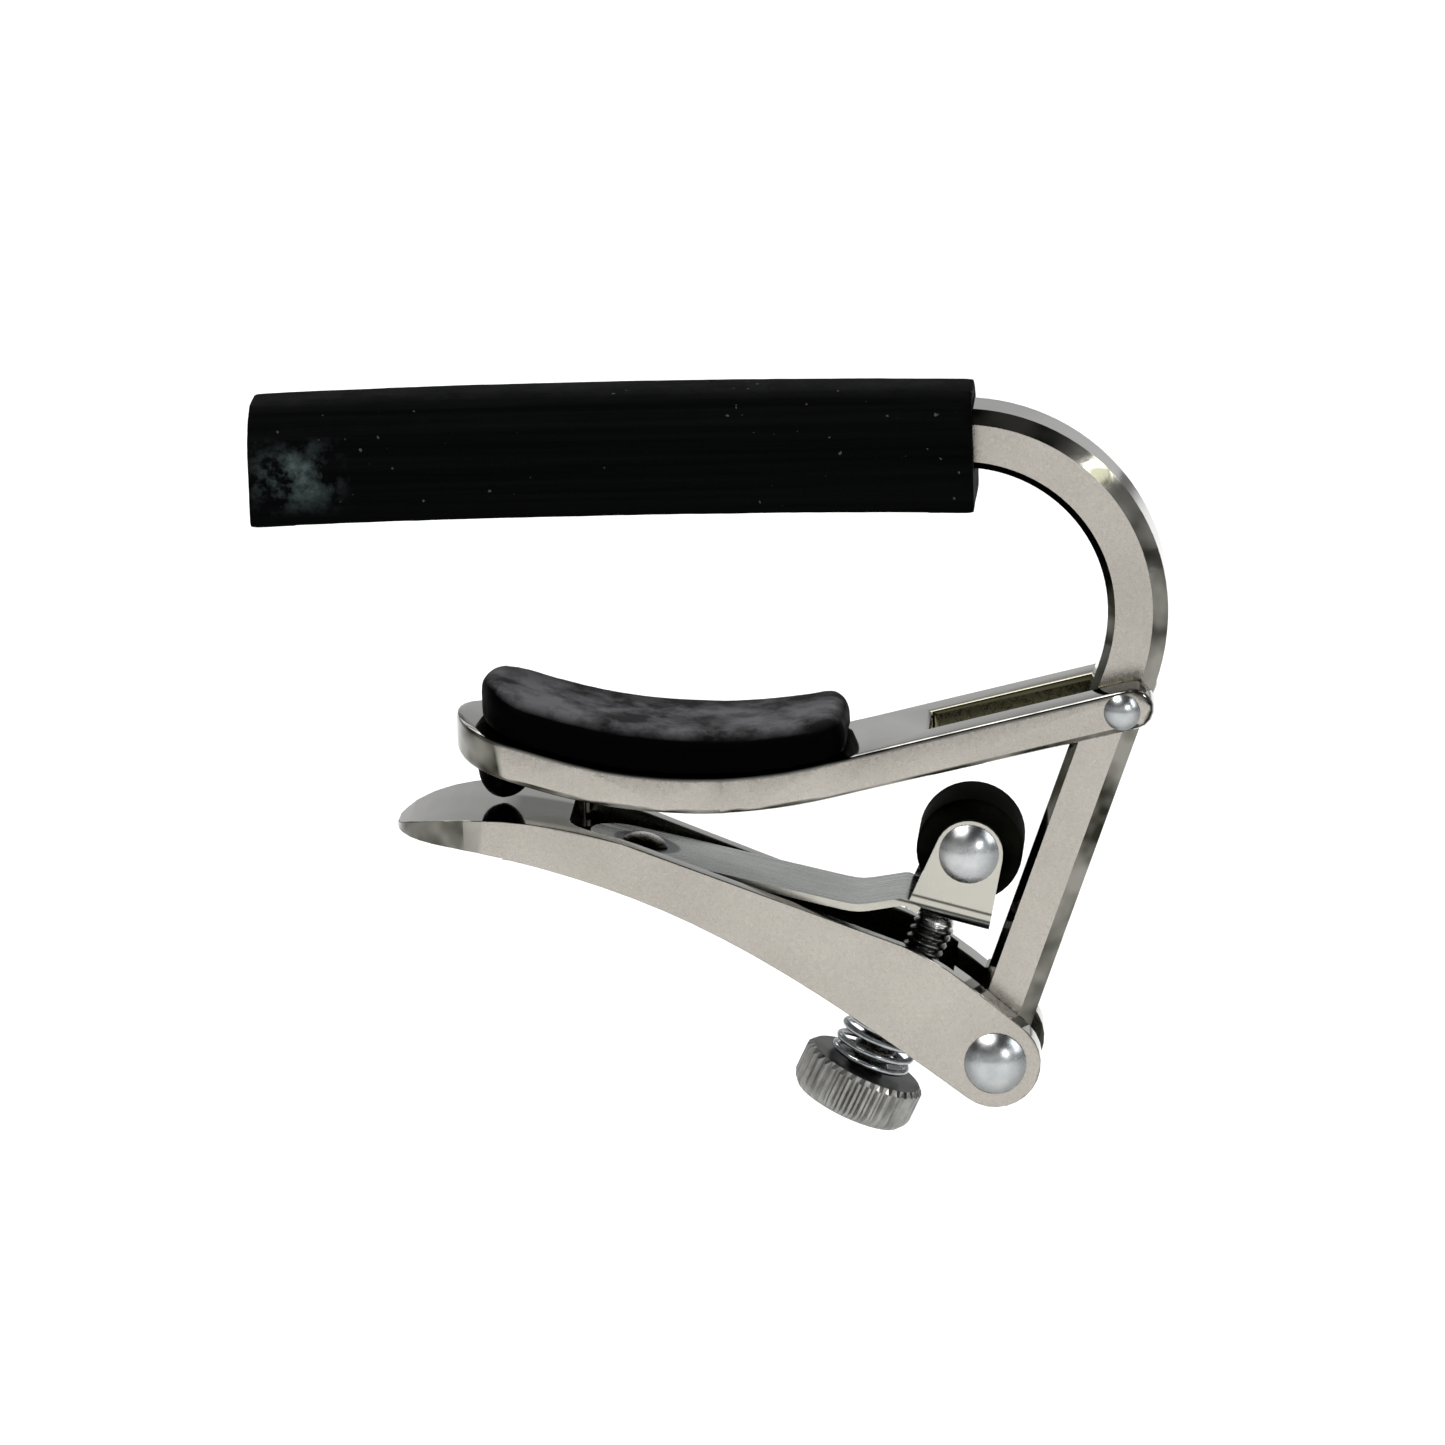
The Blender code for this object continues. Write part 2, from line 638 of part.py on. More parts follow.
def make_lock_lever():
    lever = side_prism(
        "lock_lever", lever_outline(), -2 * LEVER_HALF_WIDTH, 2 * LEVER_HALF_WIDTH, NICKEL)
    boolean(lever, plan_cutter("lever_plan", lever_plan()), "INTERSECT")
    floor = trough_floor()
    trough = floor + [(TROUGH_X[1], -20), (TROUGH_X[0], -20)]
    cavity = side_prism("lever_trough", trough, -TROUGH_HALF_WIDTH, TROUGH_HALF_WIDTH)
    boolean(cavity, plan_cutter("trough_plan", trough_plan()), "INTERSECT")
    bake(cavity)
    boolean(lever, cavity)
    slot_start = LEVER_PIVOT[0] - LEVER_SLOT_BACK
    boolean(lever, slot_cutter("lever_slot", slot_start, LEVER_PIVOT[0] + 2 * LEVER_END_RADIUS))
    round_edges(lever, LEVER_EDGE)
    add_rivet_seat(lever)
    pin_hole(lever, LEVER_PIVOT, LEVER_PIN_RADIUS + RUNNING_FIT, 2 * LEVER_HALF_WIDTH)
    cut_screw_seat(lever)
    bake(lever)
    return lever


# =================================== roller carrier ===================================

def strip_slope():
    run = Vector(STRIP_KNEE) - Vector(STRIP_START)
    return math.degrees(math.atan2(run.y, run.x))


def strip_top_at(x):
    share = (x - STRIP_START[0]) / (STRIP_KNEE[0] - STRIP_START[0])
    return STRIP_START[1] + share * (STRIP_KNEE[1] - STRIP_START[1])


def strip_normal():
    angle = math.radians(strip_slope() + 90)
    return Vector((math.cos(angle), 0, math.sin(angle)))


def carrier_rivet_base():
    """Where the rivet's axis meets the strip's top face."""
    return Vector((CARRIER_RIVET_X, 0, strip_top_at(CARRIER_RIVET_X)))


def add_rivet_seat(lever):
    """A raised round seat in the trough, with the rivet's hole through it."""
    top = -STRIP_THICKNESS - FLEX_GAP
    profile = [(0, -SEAT_ROOT), (SEAT_RADIUS, -SEAT_ROOT), (SEAT_RADIUS, top), (0, top)]
    seat = turned("rivet_seat", profile, carrier_rivet_base(), strip_normal())
    boolean(lever, seat, "UNION")
    hole = CARRIER_PIN_RADIUS + SEAT_GAP
    profile = [(0, -BORE_REACH), (hole, -BORE_REACH), (hole, 3), (0, 3)]
    boolean(lever, turned("rivet_hole", profile, carrier_rivet_base(), strip_normal()))


def offset_line(points, distance):
    """The same open line, moved sideways by a distance, with mitred corners."""
    moved = []
    for index, point in enumerate(points):
        before = Vector(points[max(index - 1, 0)])
        after = Vector(points[min(index + 1, len(points) - 1)])
        here = Vector(point)
        first = (here - before).normalized() if index else (after - here).normalized()
        second = (after - here).normalized() if index < len(points) - 1 else first
        middle = (first + second).normalized()
        normal = Vector((-middle.y, middle.x))
        mitre = normal.dot(Vector((-first.y, first.x)))
        moved.append(tuple(here + normal * distance / mitre))
    return moved


def make_strip(name):
    """The spring strip with its round end, knee and short rise."""
    knee = bezier(along(STRIP_KNEE, strip_slope() + 180, 2.4), STRIP_KNEE, STRIP_KNEE,
                  along(STRIP_KNEE, 8.0, 1.6), 5)
    foot_start, foot_end = CLEVIS_FOOT
    foot_angle = math.degrees(math.atan2(foot_end[1] - foot_start[1], foot_end[0] - foot_start[0]))
    crest = along(foot_start, foot_angle + 90, STRIP_THICKNESS)
    top = [STRIP_START] + knee + [STRIP_RISE, along(crest, foot_angle, 1.2)]
    top = bezier_corner(top, 2)
    outline = top + list(reversed(offset_line(top, -STRIP_THICKNESS)))
    strip = side_prism(name, outline, -2 * STRIP_HALF_WIDTH, 2 * STRIP_HALF_WIDTH)
    nose = half_ellipse(STRIP_START[0] + STRIP_HALF_WIDTH, STRIP_HALF_WIDTH, STRIP_HALF_WIDTH, 16)
    beyond = foot_end[0]
    plan = [(beyond, STRIP_HALF_WIDTH)] + nose + [(beyond, -STRIP_HALF_WIDTH)]
    boolean(strip, plan_cutter(name + "_plan", plan), "INTERSECT")
    bake(strip)
    return strip


def bezier_corner(points, from_end):
    """Round the corner that lies a number of points before the end of a line."""
    index = len(points) - from_end
    before, corner, after = (Vector(points[index + step]) for step in (-1, 0, 1))
    start = corner.lerp(before, min(0.5, 0.9 / (corner - before).length))
    end = corner.lerp(after, min(0.5, 0.9 / (corner - after).length))
    curve = bezier(tuple(start), tuple(corner), tuple(corner), tuple(end), 4)
    return points[:index] + curve + points[index + 1:]


def clevis_channel(name):
    """A U of sheet metal along the clevis's foot, tall enough to hold both ears."""
    foot_start, foot_end = (Vector(point) for point in CLEVIS_FOOT)
    run = (foot_end - foot_start).normalized()
    up = Vector((-run.y, run.x))
    outer = [(STRIP_HALF_WIDTH, 12)]
    outer += arc((STRIP_HALF_WIDTH - FOLD_RADIUS, FOLD_RADIUS), FOLD_RADIUS, 0, -90, 5)
    outer += [(-y, height) for y, height in reversed(outer)]
    inner_round = FOLD_RADIUS - STRIP_THICKNESS
    inside = STRIP_HALF_WIDTH - STRIP_THICKNESS
    inner = [(inside, 12)]
    inner += arc((inside - inner_round, FOLD_RADIUS), inner_round, 0, -90, 5)
    inner += [(-y, height) for y, height in reversed(inner)]
    section = outer + list(reversed(inner))
    rings = []
    for distance in (-4, (foot_end - foot_start).length + 4):
        base = foot_start + run * distance
        rings.append([(base.x + up.x * height, y, base.y + up.y * height) for y, height in section])
    return add_object(name, rings_to_bmesh(rings))


def ear_outline():
    """Side view of the clevis: a wide foot that narrows to a round top about the roller."""
    foot_start, foot_end = CLEVIS_FOOT
    return [foot_start, foot_end] + arc(ROLLER_AXIS, EAR_TOP_RADIUS, -11, 151, 12)


def make_roller_carrier():
    carrier = clevis_channel("roller_carrier")
    carrier.data.materials.append(material(SPRING_STEEL))
    boolean(carrier, side_prism("ear_shape", ear_outline(), -10, 10), "INTERSECT")
    boolean(carrier, make_strip("strip"), "UNION")
    pin_hole(carrier, ROLLER_AXIS, ROLLER_PIN_RADIUS + RUNNING_FIT, 2 * STRIP_HALF_WIDTH)
    hole = CARRIER_PIN_RADIUS + FLEX_GAP
    profile = [(0, -3), (hole, -3), (hole, 3), (0, 3)]
    boolean(carrier, turned("strip_hole", profile, carrier_rivet_base(), strip_normal()))
    bake(carrier)
    return carrier


def make_carrier_rivet():
    radius, height = CARRIER_HEAD
    sphere = (radius ** 2 + height ** 2) / (2 * height)
    half_angle = math.degrees(math.asin(radius / sphere))
    dome = arc((0, FLEX_GAP + height - sphere), sphere, 90 - half_angle, 90, 6)
    dome[-1] = (0, dome[-1][1])
    tail = CARRIER_RIVET_TAIL
    profile = [(0, -tail), (0.6, -tail + 0.06), (CARRIER_PIN_RADIUS, -tail + 0.3),
               (CARRIER_PIN_RADIUS, FLEX_GAP)] + dome
    return turned("carrier_rivet", profile, carrier_rivet_base(), strip_normal(), NICKEL, 24)


def make_roller():
    edge = ROLLER_EDGE
    half = ROLLER_HALF_LENGTH
    bore = ROLLER_PIN_RADIUS + RUNNING_FIT
    profile = [(bore, -half)]
    profile += arc((ROLLER_RADIUS - edge, -half + edge), edge, -90, 0, 3)
    profile += arc((ROLLER_RADIUS - edge, half - edge), edge, 0, 90, 3)
    profile += [(bore, half)]
    return turned("roller", profile, (ROLLER_AXIS[0], 0, ROLLER_AXIS[1]), (0, 1, 0), ROLLER_PLASTIC, 40)


# =================================== screw, knob, spring ===================================

def screw_axis():
    lean = math.radians(SCREW_LEAN)
    return Vector((math.sin(lean), 0, math.cos(lean)))


def on_screw(distance):
    """A point on the screw's axis, at a distance from the middle of the knob."""
    return Vector((KNOB_CENTRE[0], 0, KNOB_CENTRE[1])) + screw_axis() * distance


def screw_tip_distance():
    """Distance from the knob's middle to the underside of the clevis's foot."""
    foot_start, foot_end = (Vector((x, 0, z)) for x, z in CLEVIS_FOOT)
    run = (foot_end - foot_start).normalized()
    up = Vector((-run.z, 0, run.x))
    return (foot_start - on_screw(0)).dot(up) / screw_axis().dot(up)


def spring_span():
    """Where the spring starts on the knob and where it ends under the lever."""
    underside = lever_underside()
    for (x0, z0), (x1, z1) in zip(underside, underside[1:]):
        edge = Vector((x1 - x0, 0, z1 - z0))
        across = Vector((-edge.z, 0, edge.x))
        distance = (Vector((x0, 0, z0)) - on_screw(0)).dot(across) / screw_axis().dot(across)
        if min(x0, x1) <= on_screw(distance).x <= max(x0, x1):
            return KNOB_THICKNESS / 2 + SEAT_GAP, distance
    raise ValueError("the screw's axis misses the lever")


def cut_screw_seat(lever):
    """The screw's hole through the web, and a spot face for the spring under it."""
    bore = SCREW_RADIUS + RUNNING_FIT
    profile = [(0, 0), (bore, 0), (bore, BORE_REACH), (0, BORE_REACH)]
    boolean(lever, turned("screw_bore", profile, on_screw(0), screw_axis()))
    _, seat = spring_span()
    profile = [(0, 0), (SPOT_FACE_RADIUS, 0), (SPOT_FACE_RADIUS, seat), (0, seat)]
    boolean(lever, turned("spot_face", profile, on_screw(0), screw_axis()))


def make_adjusting_screw():
    top = screw_tip_distance() - SEAT_GAP
    start = KNOB_THICKNESS / 2 - KNOB_BORE_DEPTH + SEAT_GAP
    tip = arc((0, 0), 1, 0, 90, 5)
    dome = [(SCREW_RADIUS * r, top - SCREW_TIP_ROUND + SCREW_TIP_ROUND * h) for r, h in tip]
    dome[-1] = (0, top)
    profile = [(0, start), (SCREW_RADIUS - 0.3, start), (SCREW_RADIUS, start + 0.3)] + dome
    return turned("adjusting_screw", profile, on_screw(0), screw_axis(), WIRE_STEEL)


def knob_ring(radius, height, rib_depth):
    """A ring of the knob's ribbed outline in its own frame."""
    ring = []
    for step in range(KNOB_RIBS * 4):
        crest = (0, -1, -1, 0)[step % 4]
        angle = 2 * math.pi * step / (KNOB_RIBS * 4)
        reach = radius + crest * rib_depth
        ring.append(Vector((reach * math.cos(angle), reach * math.sin(angle), height)))
    return ring


def make_thumb_knob():
    half = KNOB_THICKNESS / 2
    depth = KNOB_RIB_DEPTH
    rows = [(KNOB_RADIUS - 1.3, -half, 0), (KNOB_RADIUS - 0.55, -half + 0.22, 0),
            (KNOB_RADIUS - 0.12, -half + 0.75, depth), (KNOB_RADIUS, -half + 1.1, depth),
            (KNOB_RADIUS, half - 0.4, depth), (KNOB_RADIUS - 0.4, half, 0)]
    frame = Matrix.Translation(on_screw(0)) @ screw_axis().to_track_quat("Z", "Y").to_matrix().to_4x4()
    rings = [[frame @ point for point in knob_ring(*row)] for row in rows]
    knob = add_object("thumb_knob", rings_to_bmesh(rings), KNOB_METAL)
    bore = SCREW_RADIUS + RUNNING_FIT
    low = half - KNOB_BORE_DEPTH
    profile = [(0, low), (bore, low), (bore, half + 1), (0, half + 1)]
    boolean(knob, turned("knob_bore", profile, on_screw(0), screw_axis()))
    bake(knob)
    return knob


def make_screw_spring():
    low, high = spring_span()
    low += SPRING_WIRE_RADIUS
    high -= SPRING_WIRE_RADIUS + SEAT_GAP
    frame = Matrix.Translation(on_screw(0)) @ screw_axis().to_track_quat("Z", "Y").to_matrix().to_4x4()
    steps = round(SPRING_TURNS * SPRING_STEPS)
    rings = []
    for step in range(steps + 1):
        turn = 2 * math.pi * SPRING_TURNS * step / steps
        height = low + (high - low) * step / steps
        outward = Vector((math.cos(turn), math.sin(turn), 0))
        ring = []
        for side in range(SPRING_WIRE_SIDES):
            angle = 2 * math.pi * side / SPRING_WIRE_SIDES
            reach = SPRING_MEAN_RADIUS + SPRING_WIRE_RADIUS * math.cos(angle)
            point = outward * reach + Vector((0, 0, height + SPRING_WIRE_RADIUS * math.sin(angle)))
            ring.append(frame @ point)
        rings.append(ring)
    return add_object("screw_spring", rings_to_bmesh(rings), WIRE_STEEL)


# =================================== assembly ===================================

def main():
    clear_scene()
    make_string_bar()
    make_string_sleeve()
    arm_rivet = domed_rivet(
        "arm_rivet", ARM_PIVOT, ARM_PIN_RADIUS, ARM_HEAD, FORK_HALF_WIDTH + SEAT_GAP, NICKEL)
    hang_on_axis("arm_axis", ARM_PIVOT, [make_neck_arm(), make_neck_pad(), arm_rivet])
    lever_rivet = domed_rivet(
        "lever_rivet", LEVER_PIVOT, LEVER_PIN_RADIUS, LEVER_HEAD, LEVER_FORK_HALF_WIDTH + SEAT_GAP, NICKEL)
    hang_on_axis("lever_axis", LEVER_PIVOT, [make_lock_lever(), lever_rivet, make_carrier_rivet()])
    roller_rivet = domed_rivet(
        "roller_rivet", ROLLER_AXIS, ROLLER_PIN_RADIUS, ROLLER_HEAD, STRIP_HALF_WIDTH + SEAT_GAP, NICKEL)
    flex_point = (CARRIER_RIVET_X, strip_top_at(CARRIER_RIVET_X))
    hang_on_axis("carrier_axis", flex_point, [make_roller_carrier(), roller_rivet])
    hang_on_axis("roller_centre", ROLLER_AXIS, [make_roller()])
    screw_pieces = [make_adjusting_screw(), make_thumb_knob(), make_screw_spring()]
    hang_on_axis("screw_axis", KNOB_CENTRE, screw_pieces)


main()
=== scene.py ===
"""Looks of a lever capo: polished nickel, black rubber and a knurled thumb screw.

The metal CAD nodes keep their shapes. The adjusting screw gets a real thread, the spring
round wire, and the two rubber pieces soft moulded skins. Lengths are in metres, in the row
frame, except where a name or comment says millimetres.
"""

import json
import math

import bmesh
import bpy
from mathutils import Matrix, Vector


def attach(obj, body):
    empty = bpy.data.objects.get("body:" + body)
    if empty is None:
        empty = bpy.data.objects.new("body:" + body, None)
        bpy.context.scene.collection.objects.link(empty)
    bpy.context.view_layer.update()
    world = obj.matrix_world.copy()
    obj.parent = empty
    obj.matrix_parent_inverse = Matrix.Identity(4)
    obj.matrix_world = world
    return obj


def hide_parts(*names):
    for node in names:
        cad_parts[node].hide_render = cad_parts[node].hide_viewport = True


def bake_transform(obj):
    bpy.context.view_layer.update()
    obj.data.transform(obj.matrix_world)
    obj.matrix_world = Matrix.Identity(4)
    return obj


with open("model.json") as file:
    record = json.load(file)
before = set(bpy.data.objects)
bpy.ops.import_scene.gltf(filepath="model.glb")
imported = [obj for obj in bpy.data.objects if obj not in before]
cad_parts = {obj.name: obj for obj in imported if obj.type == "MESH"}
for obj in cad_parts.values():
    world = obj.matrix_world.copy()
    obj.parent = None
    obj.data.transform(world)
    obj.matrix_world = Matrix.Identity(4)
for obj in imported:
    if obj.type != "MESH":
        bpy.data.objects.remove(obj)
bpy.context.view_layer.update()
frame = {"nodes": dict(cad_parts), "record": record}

MM = 0.001

# Camera, floor and light
CAMERA_AZIMUTH = math.radians(3.5)
CAMERA_ELEVATION = math.radians(14.0)
CAMERA_ROLL = math.radians(2.0)
CAMERA_LENS = 300.0
CAMERA_CLIP = (0.05, 20)
PICTURE_WIDTH = 0.1156        # what the frame covers at the object
AIM = Vector((0.0079, 0.0, -0.01823))
FLOOR_GAP = 0.001             # room between the floor and the open lever
FLOOR_RADIUS = 6.0
FLOOR_SIDES = 64
FLOOR_GREY = 0.93
CAPO_MIDDLE = (0, 0, -0.03)
LIGHTS = (                    # name, place, aim, size, power, colour
    ("key", (-0.30, -0.40, 0.80), CAPO_MIDDLE, (0.45, 0.30), 11.0, (1.0, 0.985, 0.96)),
    ("side", (0.75, -0.35, 0.45), CAPO_MIDDLE, (0.16, 0.50), 3.0, (0.94, 0.97, 1.0)),
    ("back", (-0.10, 0.80, 0.75), CAPO_MIDDLE, (0.70, 0.20), 4.0, (1, 1, 1)),
    ("glint", (0.50, -0.86, 0.30), CAPO_MIDDLE, (0.16, 0.10), 2.2, (1, 1, 1)),
    ("far_floor", (0.0, 0.90, 0.55), (0, 0.91, -0.1), (1.20, 0.60), 4.0, (1, 1, 1)))
ROOM_GREYS = ((0.0, 0.90), (0.22, 0.78), (0.42, 0.16), (0.70, 0.05), (1.0, 0.20))   # by height
ROOM_STRENGTH = 0.85

# Adjusting screw and its spring
SCREW_LEAN = math.radians(26.6)
SCREW_AXIS = Vector((math.sin(SCREW_LEAN), 0, math.cos(SCREW_LEAN)))
KNOB_CENTRE = Vector((17.71, 0, -48.47)) * MM
THREAD_CREST = 0.00168
THREAD_CORE = 0.00134
THREAD_PITCH = 0.0007
THREAD_FLANK = 1.35           # above one the flanks are steeper, and the crests have a flat
THREAD_ROWS = 8               # rings of points for each turn of the thread
THREAD_SIDES = 36
THREAD_TIP = 0.0017           # length of the domed tip
THREAD_TIP_FLAT = 0.00002     # radius of the small flat that closes the tip
COIL_RADIUS = 0.0030
COIL_WIRE = 0.00028           # radius of the wire
COIL_TURNS = 3.6
COIL_STEPS = 40               # rings of points for each turn
COIL_SIDES = 14
COIL_CLOSING = 0.045          # how far the end coils are closed up

# Surfaces: edges stay crisp where the faces meet at more than these degrees
EDGE_ANGLE = 34.0
CRISPER_EDGES = {"string_bar": 15.0, "thumb_knob": 22.0}
SWEPT_EDGE_ANGLE = 60.0
MOULDED_EDGE_ANGLE = 35.0
SAME_POINT = 1e-6
RUBBER_GRID = 0.00032
RUBBER_SOFTENING = (0.5, 5)   # strength and number of the smoothing passes
RUBBER_LUMPS = 0.004          # size of the slight unevenness
RUBBER_MID_LEVEL = 0.62
SLEEVE_UNEVENNESS = 0.00008
PAD_UNEVENNESS = 0.00012

# Where marks lie on the pieces: low, high and softness, in millimetres from the origin
TROUGH_X = (-4.1, 22.0, 0.5)
TROUGH_Y = (-5.0, 5.0, 0.3)
PLUG_REFLECTION_X = (-10.0, -2.5, 1.6)   # a painted dark reflection of the pad's plug before the trough
PLUG_REFLECTION_Y = (-6.1, 2.4, 0.9)
DUST_X = (-30.0, -20.5, 4.0)
DUST_Z = (0.5, 7.0, 2.5)
FOOT_UP = (0.2774, 0.9608)    # across the foot of the clevis, in X and Z
FOOT_CREASES = ((-24.89, -24.55, 0.12), (-24.23, -23.89, 0.14))     # along that direction; painted shade lines in the creases
STRIP_RIVET_X = 1.5
STRIP_RIVET_RING = (1.2, 2.75, 0.25)                                # away from that rivet; a ring of painted shade
THREAD_GLINT = (-1.5, 1.0, 0.3)                                     # around the screw's end; a painted highlight

# Painted shade: metal colours for the places that see little light
ARM_SHADE = (0.11, 0.105, 0.065)
TROUGH_SHADE = (0.040, 0.040, 0.032)


# =================================== camera, floor, light ===================================

def make_camera():
    """A long lens, a little to the right of the capo's side and a little above it."""
    data = bpy.data.cameras.new("camera")
    data.lens = CAMERA_LENS
    data.clip_start, data.clip_end = CAMERA_CLIP
    camera = bpy.data.objects.new("camera", data)
    bpy.context.scene.collection.objects.link(camera)
    right = Vector((math.cos(CAMERA_AZIMUTH), math.sin(CAMERA_AZIMUTH), 0))
    back = Vector((
        math.sin(CAMERA_AZIMUTH) * math.cos(CAMERA_ELEVATION),
        -math.cos(CAMERA_AZIMUTH) * math.cos(CAMERA_ELEVATION),
        math.sin(CAMERA_ELEVATION)))
    level = Matrix((right, back.cross(right), back)).transposed()
    turn = Matrix.Rotation(CAMERA_ROLL, 3, "Y")
    pose = (turn @ level).to_4x4()
    distance = PICTURE_WIDTH / 2 / (data.sensor_width / 2 / data.lens)
    pose.translation = AIM + (turn @ back) * distance
    camera.matrix_world = pose
    bpy.context.scene.camera = camera


def open_lever_reach():
    """Height of the lowest point that the lever sweeps past as it opens."""
    joints = {joint["name"]: joint for joint in frame["record"]["behaviour"]["joints"]}
    pivot = Vector(joints["lever_pivot"]["pos_m"])
    across = max(math.hypot(vertex.co.x - pivot.x, vertex.co.z - pivot.z)
                 for vertex in frame["nodes"]["lock_lever"].data.vertices)
    return pivot.z - across


def make_floor():
    """The floor lies below the open lever, so the closed capo hangs a little above it."""
    low = open_lever_reach() - FLOOR_GAP
    build = bmesh.new()
    bmesh.ops.create_circle(build, cap_ends=True, radius=FLOOR_RADIUS, segments=FLOOR_SIDES)
    bmesh.ops.translate(build, vec=(0, 0, low), verts=build.verts)
    mesh = bpy.data.meshes.new("floor")
    build.to_mesh(mesh)
    build.free()
    floor = bpy.data.objects.new("floor", mesh)
    bpy.context.scene.collection.objects.link(floor)
    paint = bpy.data.materials.new("floor")
    paint.use_nodes = True
    shader = paint.node_tree.nodes["Principled BSDF"]
    shader.inputs["Base Color"].default_value = (FLOOR_GREY, FLOOR_GREY, FLOOR_GREY, 1)
    shader.inputs["Roughness"].default_value = 0.9
    shader.inputs["Specular IOR Level"].default_value = 0.1
    mesh.materials.append(paint)


def make_lights():
    """Soft panels round the capo, and one that keeps the floor behind it white."""
    for name, place, aim, size, power, colour in LIGHTS:
        data = bpy.data.lights.new(name, "AREA")
        data.shape = "RECTANGLE"
        data.size, data.size_y = size
        data.energy = power
        data.color = colour
        light = bpy.data.objects.new(name, data)
        bpy.context.scene.collection.objects.link(light)
        light.location = place
        light.rotation_euler = (Vector(aim) - Vector(place)).to_track_quat("-Z", "Y").to_euler()
    bpy.context.scene.view_settings.view_transform = "Standard"


def make_world():
    """A pale room that darkens overhead, so that polished edges have something to mirror."""
    world = bpy.data.worlds.new("studio")
    bpy.context.scene.world = world
    world.use_nodes = True
    tree = world.node_tree
    direction = tree.nodes.new("ShaderNodeTexCoord")
    split = tree.nodes.new("ShaderNodeSeparateXYZ")
    tree.links.new(direction.outputs["Generated"], split.inputs[0])
    ramp = tree.nodes.new("ShaderNodeValToRGB")
    tree.links.new(split.outputs["Z"], ramp.inputs["Fac"])
    elements = ramp.color_ramp.elements
    while len(elements) < len(ROOM_GREYS):
        elements.new(0.5)
    for element, (position, grey) in zip(elements, ROOM_GREYS):
        element.position = position
        element.color = (grey, grey * 1.005, grey * 1.01, 1)
    background = tree.nodes["Background"]
    tree.links.new(ramp.outputs["Color"], background.inputs["Color"])
    background.inputs["Strength"].default_value = ROOM_STRENGTH


# =================================== material helpers ===================================

